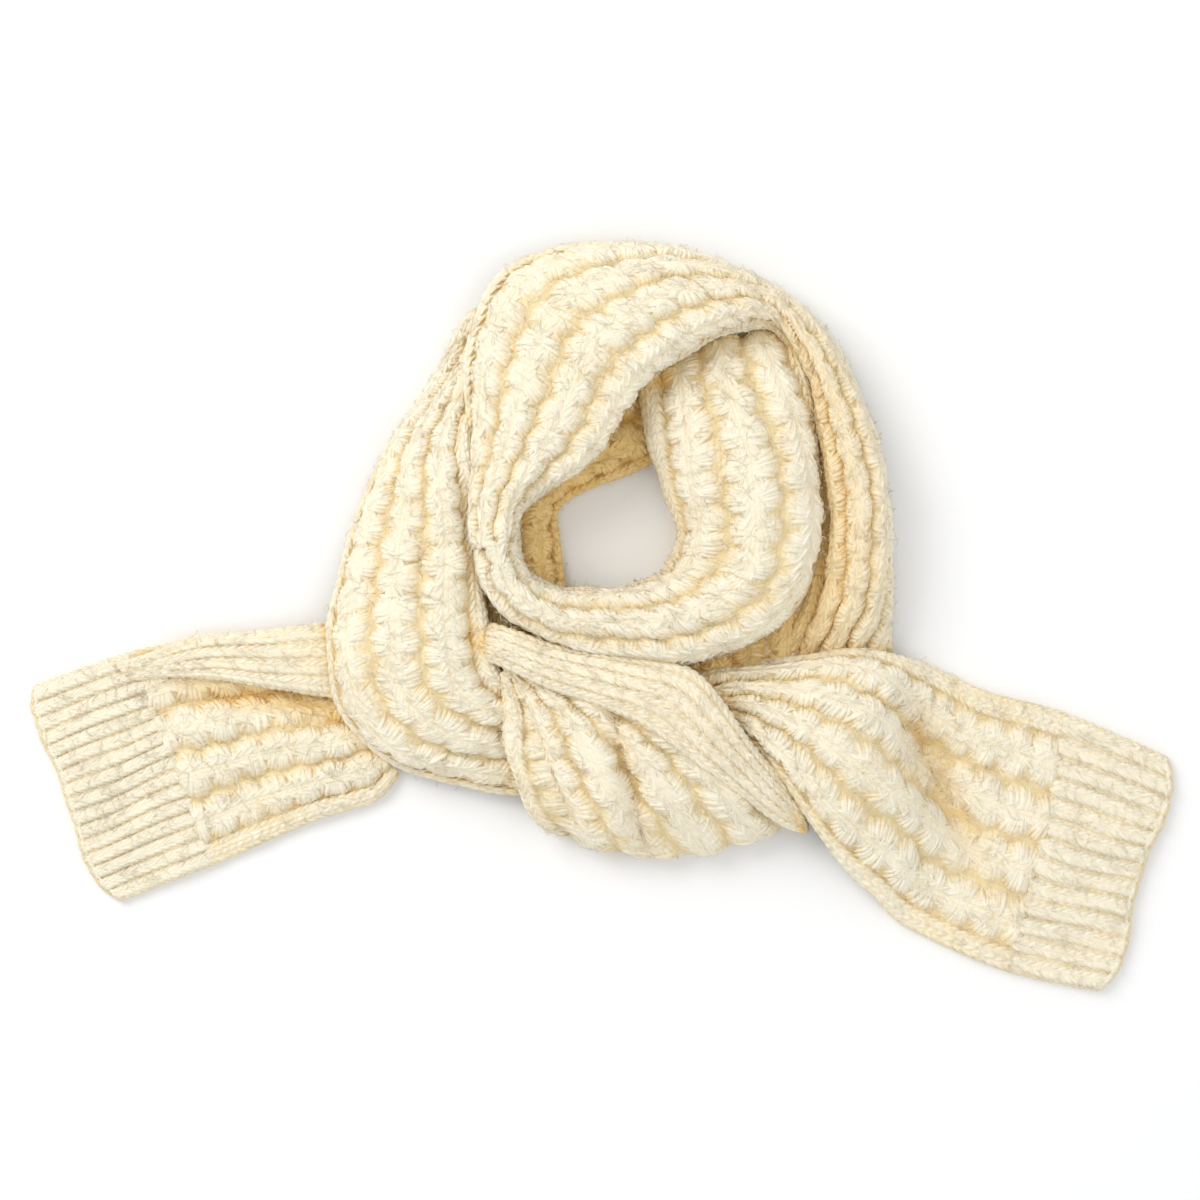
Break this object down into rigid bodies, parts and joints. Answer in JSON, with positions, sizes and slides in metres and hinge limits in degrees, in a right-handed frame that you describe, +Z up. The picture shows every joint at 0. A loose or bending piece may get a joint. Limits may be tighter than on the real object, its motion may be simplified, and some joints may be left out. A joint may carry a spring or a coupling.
{
  "type": "knit scarf",
  "caption": "Chunky knit scarf with ribbed ends, wound into a neck loop, half knotted and laid flat.",
  "frame": {"origin": "on the surface that the scarf lies on, under the middle of its outline", "axes": "+Z up from the surface, +X towards the right-hand end, +Y from the knot up across the neck loop"},
  "size_m": [0.713, 0.4606, 0.0624],
  "materials": {
    "knit_yarn": "soft cream wool blend in raised columns of star stitches",
    "ribbed_ends": "soft cream wool blend in one by one rib",
    "inner_turns": "soft cream wool blend, the turns that lie underneath"
  },
  "bodies": {
    "root": {"left_cuff": "ribbed_ends", "left_tail": "knit_yarn", "left_tail_fold": "knit_yarn", "neck_ring": "knit_yarn", "upper_band": "knit_yarn", "right_band": "knit_yarn", "left_band": "knit_yarn", "right_tail": "knit_yarn", "right_cuff": "ribbed_ends", "knot_wrap": "knit_yarn", "knot_edge": "knit_yarn", "inner_band": "inner_turns", "hidden_layers": "inner_turns"}
  },
  "joints": []
}
